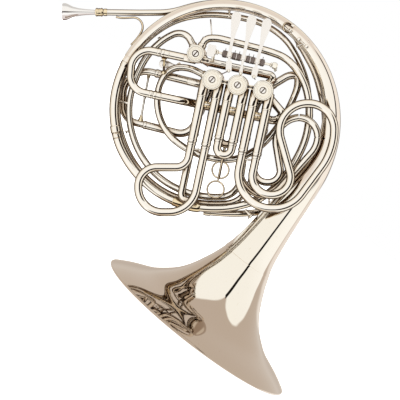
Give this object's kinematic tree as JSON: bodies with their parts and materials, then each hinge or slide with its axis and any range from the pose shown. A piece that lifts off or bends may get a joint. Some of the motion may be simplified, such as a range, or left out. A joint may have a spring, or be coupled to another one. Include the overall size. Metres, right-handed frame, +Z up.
{
  "type": "french horn",
  "caption": "Double french horn with a wide flared bell, coiled tubing, rotary valves worked by paddle keys, pull-out slides and a cup mouthpiece.",
  "frame": {"origin": "centre of the bounding box's bottom face, in the plane of the bell rim, which is the lowest face", "axes": "+Z up along the bell axis from the open rim to the throat, -Y towards the side that shows the keys and valve discs, +X from the mouthpiece end towards the bell"},
  "size_m": [0.5932, 0.3114, 0.4309],
  "materials": {
    "nickel_silver": "polished nickel silver tube",
    "bright_nickel": "bright nickel plate",
    "brass_fitting": "polished pale brass",
    "silver_plate": "silver plate",
    "dark_steel": "blued spring steel",
    "valve_bronze": "machined bronze"
  },
  "bodies": {
    "corpus": {"bell_brace": "nickel_silver", "bell_flare": "nickel_silver", "bell_tail": "nickel_silver", "cross_tube": "nickel_silver", "f_tuning_sleeve_lower": "nickel_silver", "f_tuning_sleeve_upper": "nickel_silver", "finger_hook": "nickel_silver", "hinge_bracket": "bright_nickel", "hoop_branch": "nickel_silver", "inner_ring": "nickel_silver", "leadpipe": "nickel_silver", "leadpipe_brace": "nickel_silver", "lever_spring_1": "dark_steel", "lever_spring_2": "dark_steel", "lever_spring_3": "dark_steel", "lower_branch": "nickel_silver", "mouthpiece_receiver": "brass_fitting", "outer_ring": "nickel_silver", "rear_tuning_sleeve_lower": "nickel_silver", "rear_tuning_sleeve_upper": "nickel_silver", "return_branch": "nickel_silver", "thumb_hinge": "nickel_silver", "thumb_valve_casing": "nickel_silver", "thumb_valve_rear_cap": "nickel_silver", "valve_1_casing": "nickel_silver", "valve_1_rear_cap": "nickel_silver", "valve_1_slide_sleeves": "nickel_silver", "valve_2_casing": "nickel_silver", "valve_2_rear_cap": "nickel_silver", "valve_2_slide_sleeves": "nickel_silver", "valve_3_casing": "nickel_silver", "valve_3_rear_cap": "nickel_silver", "valve_3_slide_sleeves": "nickel_silver", "valve_ring": "nickel_silver"},
    "key_1": {"lever_1": "silver_plate"},
    "key_2": {"lever_2": "silver_plate"},
    "key_3": {"lever_3": "silver_plate"},
    "thumb_key": {"thumb_lever": "silver_plate"},
    "thumb_valve_turning": {"thumb_valve_rotor": "valve_bronze", "thumb_valve_stop_disc": "bright_nickel", "thumb_valve_stop_screw": "bright_nickel"},
    "valve_1_turning": {"valve_1_rotor": "valve_bronze", "valve_1_stop_disc": "bright_nickel", "valve_1_stop_screw": "bright_nickel"},
    "valve_2_turning": {"valve_2_rotor": "valve_bronze", "valve_2_stop_disc": "bright_nickel", "valve_2_stop_screw": "bright_nickel"},
    "valve_3_turning": {"valve_3_rotor": "valve_bronze", "valve_3_stop_disc": "bright_nickel", "valve_3_stop_screw": "bright_nickel"},
    "front_slide_1": {"f_slide_1": "nickel_silver"},
    "back_slide_1": {"rear_slide_1": "nickel_silver"},
    "front_slide_2": {"f_slide_2": "nickel_silver"},
    "back_slide_2": {"rear_slide_2": "nickel_silver"},
    "front_slide_3": {"f_slide_3": "nickel_silver"},
    "back_slide_3": {"rear_slide_3": "nickel_silver"},
    "f_tuning_slide": {"f_tuning_bow": "nickel_silver"},
    "main_tuning_slide": {"rear_tuning_bow": "nickel_silver"},
    "mouthpiece_body": {"mouthpiece": "silver_plate"}
  },
  "joints": [
    {"name": "key_1_press", "type": "hinge", "parent": "corpus", "child": "key_1", "pos_m": [-0.05813, -0.0385, 0.34036], "axis": [-0.9112, 0, -0.412], "range_deg": [0, 14], "stiffness_Nm_per_rad": 0.4},
    {"name": "key_2_press", "type": "hinge", "parent": "corpus", "child": "key_2", "pos_m": [-0.03988, -0.0385, 0.34862], "axis": [-0.9112, 0, -0.412], "range_deg": [0, 14], "stiffness_Nm_per_rad": 0.4},
    {"name": "key_3_press", "type": "hinge", "parent": "corpus", "child": "key_3", "pos_m": [-0.02164, -0.0385, 0.35687], "axis": [-0.9112, 0, -0.412], "range_deg": [0, 14], "stiffness_Nm_per_rad": 0.4},
    {"name": "thumb_key_press", "type": "hinge", "parent": "corpus", "child": "thumb_key", "pos_m": [-0.1095, 0.033, 0.28193], "axis": [-0.4394, 0, 0.8983], "range_deg": [0, 14], "stiffness_Nm_per_rad": 0.4},
    {"name": "thumb_valve_turn", "type": "hinge", "parent": "corpus", "child": "thumb_valve_turning", "pos_m": [-0.09708, 0, 0.31324], "axis": [0, 1, 0], "range_deg": [0, 91]},
    {"name": "valve_1_turn", "type": "hinge", "parent": "corpus", "child": "valve_1_turning", "pos_m": [-0.0566, 0, 0.29852], "axis": [0, 1, 0], "range_deg": [0, 91]},
    {"name": "valve_2_turn", "type": "hinge", "parent": "corpus", "child": "valve_2_turning", "pos_m": [-0.02361, 0, 0.31422], "axis": [0, 1, 0], "range_deg": [0, 91]},
    {"name": "valve_3_turn", "type": "hinge", "parent": "corpus", "child": "valve_3_turning", "pos_m": [0.00938, 0, 0.32992], "axis": [0, 1, 0], "range_deg": [0, 91]},
    {"name": "front_slide_1_pull", "type": "slide", "parent": "corpus", "child": "front_slide_1", "axis": [0.4297, 0, -0.9029], "range_m": [0, 0.04]},
    {"name": "back_slide_1_pull", "type": "slide", "parent": "corpus", "child": "back_slide_1", "axis": [0.4297, 0, -0.9029], "range_m": [0, 0.035]},
    {"name": "front_slide_2_pull", "type": "slide", "parent": "corpus", "child": "front_slide_2", "axis": [0.4297, 0, -0.9029], "range_m": [0, 0.04]},
    {"name": "back_slide_2_pull", "type": "slide", "parent": "corpus", "child": "back_slide_2", "axis": [0.4297, 0, -0.9029], "range_m": [0, 0.022]},
    {"name": "front_slide_3_pull", "type": "slide", "parent": "corpus", "child": "front_slide_3", "axis": [0.4297, 0, -0.9029], "range_m": [0, 0.02]},
    {"name": "back_slide_3_pull", "type": "slide", "parent": "corpus", "child": "back_slide_3", "axis": [0.4297, 0, -0.9029], "range_m": [0, 0.008]},
    {"name": "f_tuning_pull", "type": "slide", "parent": "corpus", "child": "f_tuning_slide", "axis": [-0.9025, 0, -0.4307], "range_m": [0, 0.02]},
    {"name": "main_tuning_pull", "type": "slide", "parent": "corpus", "child": "main_tuning_slide", "axis": [-0.9153, 0, -0.4028], "range_m": [0, 0.02]},
    {"name": "mouthpiece_lift_off", "type": "slide", "parent": "corpus", "child": "mouthpiece_body", "axis": [-0.8028, 0, -0.5963], "range_m": [0, 0.03]}
  ],
  "couplings": [
    {"joint": "valve_1_turn", "follows": "key_1_press", "ratio": 6.4286},
    {"joint": "valve_2_turn", "follows": "key_2_press", "ratio": 6.4286},
    {"joint": "valve_3_turn", "follows": "key_3_press", "ratio": 6.4286},
    {"joint": "thumb_valve_turn", "follows": "thumb_key_press", "ratio": 6.4286}
  ]
}
